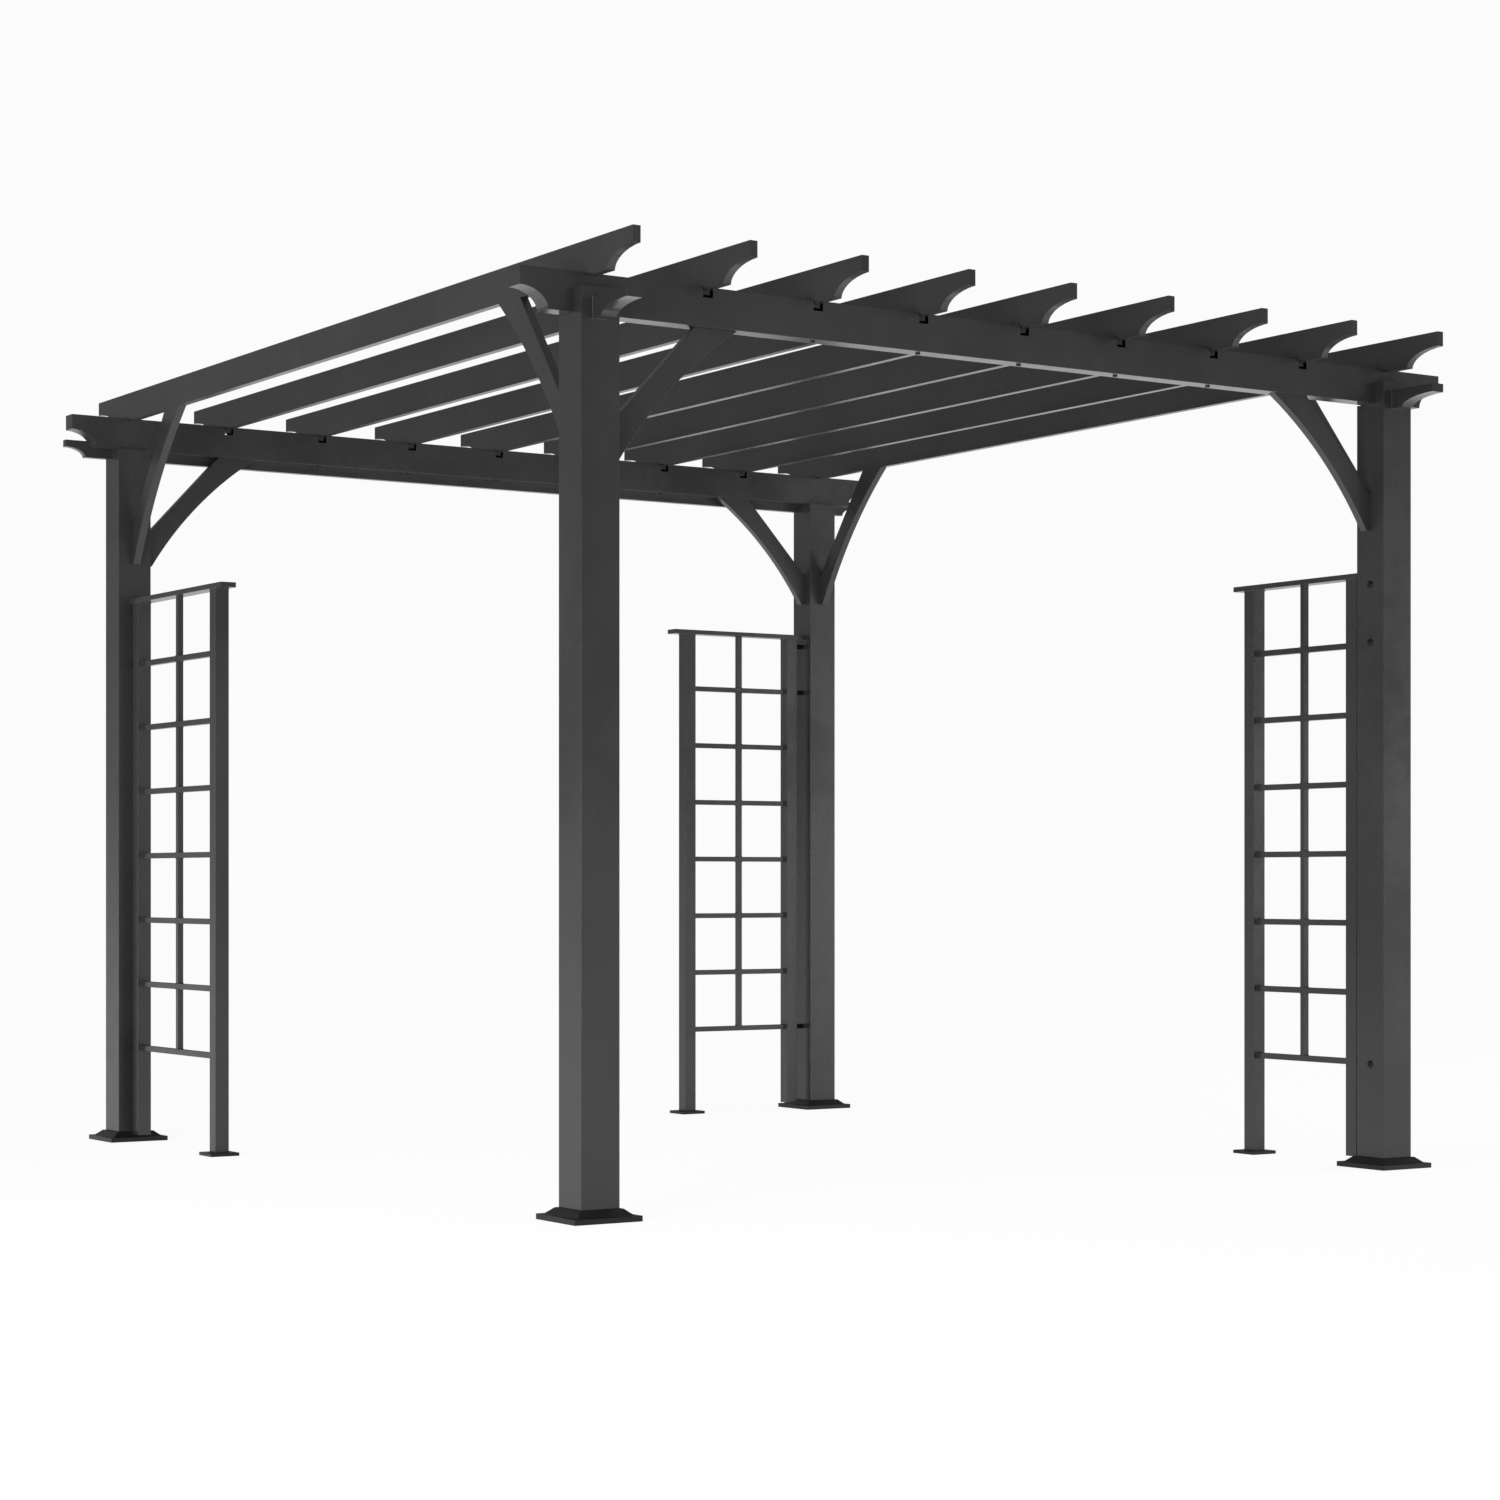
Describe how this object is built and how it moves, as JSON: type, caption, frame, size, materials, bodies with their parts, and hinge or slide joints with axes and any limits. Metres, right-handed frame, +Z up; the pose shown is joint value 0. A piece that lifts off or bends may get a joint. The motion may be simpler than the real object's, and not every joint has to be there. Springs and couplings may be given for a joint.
{
  "type": "pergola with trellis panels",
  "caption": "Free-standing square steel pergola with scalloped beams and rafters, arched knee braces and ladder trellis panels beside the posts.",
  "frame": {"origin": "on the ground under the middle of the roof", "axes": "+X along the front beam, +Y along the rafters from front to back, +Z up"},
  "size_m": [2.846, 3.114, 2.211],
  "materials": {
    "frame": "satin powder coat",
    "trellis": "satin powder coat",
    "cover": "satin powder coat, darker",
    "plate": "satin powder coat",
    "fastener": "black zinc"
  },
  "bodies": {
    "root": {"post_near": "frame", "base_plate_near": "plate", "base_cover_near": "cover", "stub_near": "frame", "brace_near_x": "frame", "brace_near_y": "frame", "post_right": "frame", "base_plate_right": "plate", "base_cover_right": "cover", "stub_right": "frame", "brace_right_x": "frame", "brace_right_y": "frame", "post_left": "frame", "base_plate_left": "plate", "base_cover_left": "cover", "stub_left": "frame", "brace_left_x": "frame", "brace_left_y": "frame", "post_back": "frame", "base_plate_back": "plate", "base_cover_back": "cover", "stub_back": "frame", "brace_back_x": "frame", "brace_back_y": "frame", "front_beam": "frame", "back_beam": "frame", "back_rail": "frame", "rafter_1": "frame", "rafter_2": "frame", "rafter_3": "frame", "rafter_4": "frame", "rafter_5": "frame", "rafter_6": "frame", "rafter_7": "frame", "rafter_8": "frame", "rafter_9": "frame", "left_inner_stile": "trellis", "left_outer_stile": "trellis", "left_cap_rail": "trellis", "left_centre_bar": "trellis", "left_cross_bars": "trellis", "left_foot_plate": "trellis", "back_inner_stile": "trellis", "back_outer_stile": "trellis", "back_cap_rail": "trellis", "back_centre_bar": "trellis", "back_cross_bars": "trellis", "back_foot_plate": "trellis", "right_inner_stile": "trellis", "right_outer_stile": "trellis", "right_cap_rail": "trellis", "right_centre_bar": "trellis", "right_cross_bars": "trellis", "right_foot_plate": "trellis", "rafter_screws": "fastener", "beam_bolts": "fastener", "rail_bolts": "fastener", "brace_bolts": "fastener", "trellis_studs": "fastener"}
  },
  "joints": []
}
